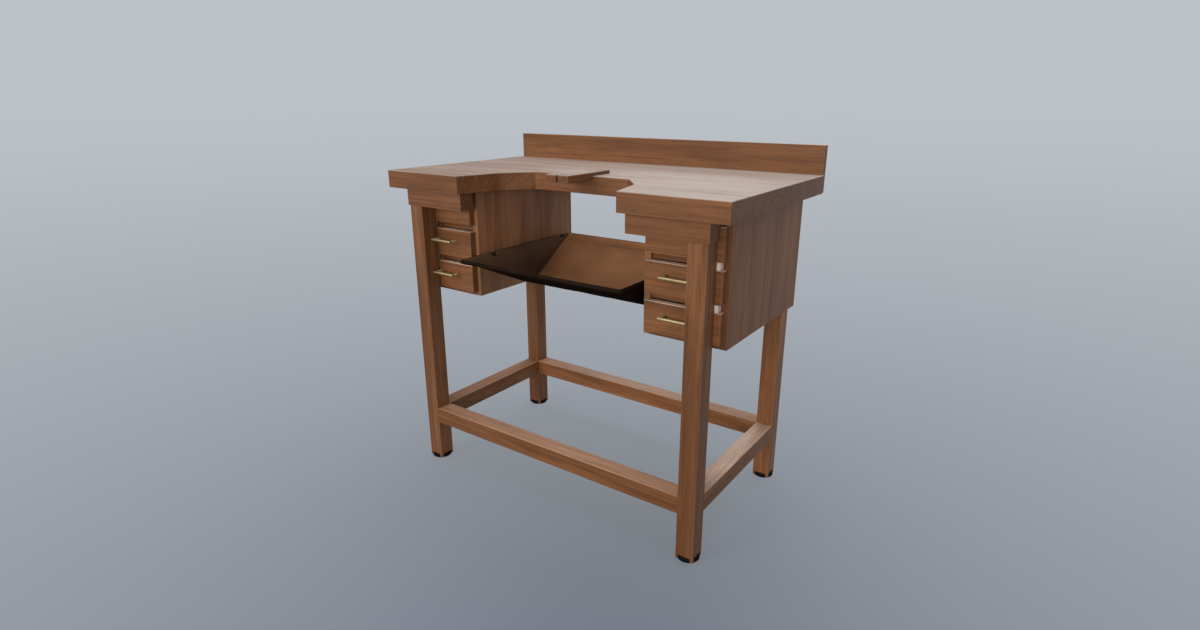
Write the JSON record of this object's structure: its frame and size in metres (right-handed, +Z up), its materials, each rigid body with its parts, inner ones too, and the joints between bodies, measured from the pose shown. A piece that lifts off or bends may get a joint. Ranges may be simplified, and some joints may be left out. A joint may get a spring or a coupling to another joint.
{
  "type": "jewelers bench",
  "caption": "Jeweler's workbench: thick wooden top with a body cut-out and bench pin, braced legs, drawer cabinets beside the knee space, and a hung leather skin that catches filings.",
  "frame": {"origin": "on the floor, under the middle of the bench's box", "axes": "+X to the right of the person seated at the cut-out, along the worktop; +Y to the back, towards the upstand; +Z up"},
  "size_m": [1.1, 0.6202, 1.016],
  "materials": {
    "bench_wood": "walnut-toned hardwood, satin oil",
    "top_wood": "walnut-toned hardwood, satin oil, worn paler on top",
    "drawer_wood": "plain unstained hardwood",
    "brass": "satin, lightly aged",
    "rubber": "matte black",
    "leather": "waxed brown hide, matte",
    "steel": "plain drawn rod and strip"
  },
  "bodies": {
    "bench": {"worktop": "top_wood", "bench_pin": "top_wood", "back_upstand": "bench_wood", "front_left_bearer": "bench_wood", "front_right_bearer": "bench_wood", "rear_bearer": "bench_wood", "front_left_leg": "bench_wood", "front_right_leg": "bench_wood", "rear_left_leg": "bench_wood", "rear_right_leg": "bench_wood", "front_left_foot": "rubber", "front_right_foot": "rubber", "rear_left_foot": "rubber", "rear_right_foot": "rubber", "front_stretcher": "bench_wood", "rear_stretcher": "bench_wood", "left_stretcher": "bench_wood", "right_stretcher": "bench_wood", "left_cabinet_inner_side": "bench_wood", "left_cabinet_outer_side": "bench_wood", "left_cabinet_back": "drawer_wood", "left_cabinet_bottom": "drawer_wood", "left_cabinet_partition": "drawer_wood", "left_cabinet_fixed_front": "bench_wood", "left_cabinet_lower_block": "bench_wood", "left_cabinet_middle_block": "bench_wood", "right_cabinet_inner_side": "bench_wood", "right_cabinet_outer_side": "bench_wood", "right_cabinet_back": "drawer_wood", "right_cabinet_bottom": "drawer_wood", "right_cabinet_partition": "drawer_wood", "right_cabinet_fixed_front": "bench_wood", "right_cabinet_lower_block": "bench_wood", "right_cabinet_middle_block": "bench_wood", "left_lower_inner_runner": "drawer_wood", "left_lower_outer_runner": "drawer_wood", "left_cabinet_runner_frame": "bench_wood", "left_cabinet_upper_rail": "bench_wood", "right_lower_inner_runner": "drawer_wood", "right_lower_outer_runner": "drawer_wood", "right_cabinet_runner_frame": "bench_wood", "right_cabinet_upper_rail": "bench_wood", "leather_skin": "leather", "skin_rod_frame": "steel", "left_front_skin_hook": "steel", "left_rear_skin_hook": "steel", "right_front_skin_hook": "steel", "right_rear_skin_hook": "steel"},
    "left_lower_drawer": {"left_lower_drawer_front": "bench_wood", "left_lower_drawer_box": "drawer_wood", "left_lower_drawer_pull": "brass"},
    "left_middle_drawer": {"left_middle_drawer_front": "bench_wood", "left_middle_drawer_box": "drawer_wood", "left_middle_drawer_pull": "brass"},
    "right_lower_drawer": {"right_lower_drawer_front": "bench_wood", "right_lower_drawer_box": "drawer_wood", "right_lower_drawer_pull": "brass"},
    "right_middle_drawer": {"right_middle_drawer_front": "bench_wood", "right_middle_drawer_box": "drawer_wood", "right_middle_drawer_pull": "brass"}
  },
  "joints": [
    {"name": "left_lower_drawer_slide", "type": "slide", "parent": "bench", "child": "left_lower_drawer", "axis": [0, -1, 0], "range_m": [0, 0.25]},
    {"name": "left_middle_drawer_slide", "type": "slide", "parent": "bench", "child": "left_middle_drawer", "axis": [0, -1, 0], "range_m": [0, 0.25]},
    {"name": "right_lower_drawer_slide", "type": "slide", "parent": "bench", "child": "right_lower_drawer", "axis": [0, -1, 0], "range_m": [0, 0.25]},
    {"name": "right_middle_drawer_slide", "type": "slide", "parent": "bench", "child": "right_middle_drawer", "axis": [0, -1, 0], "range_m": [0, 0.25]}
  ]
}
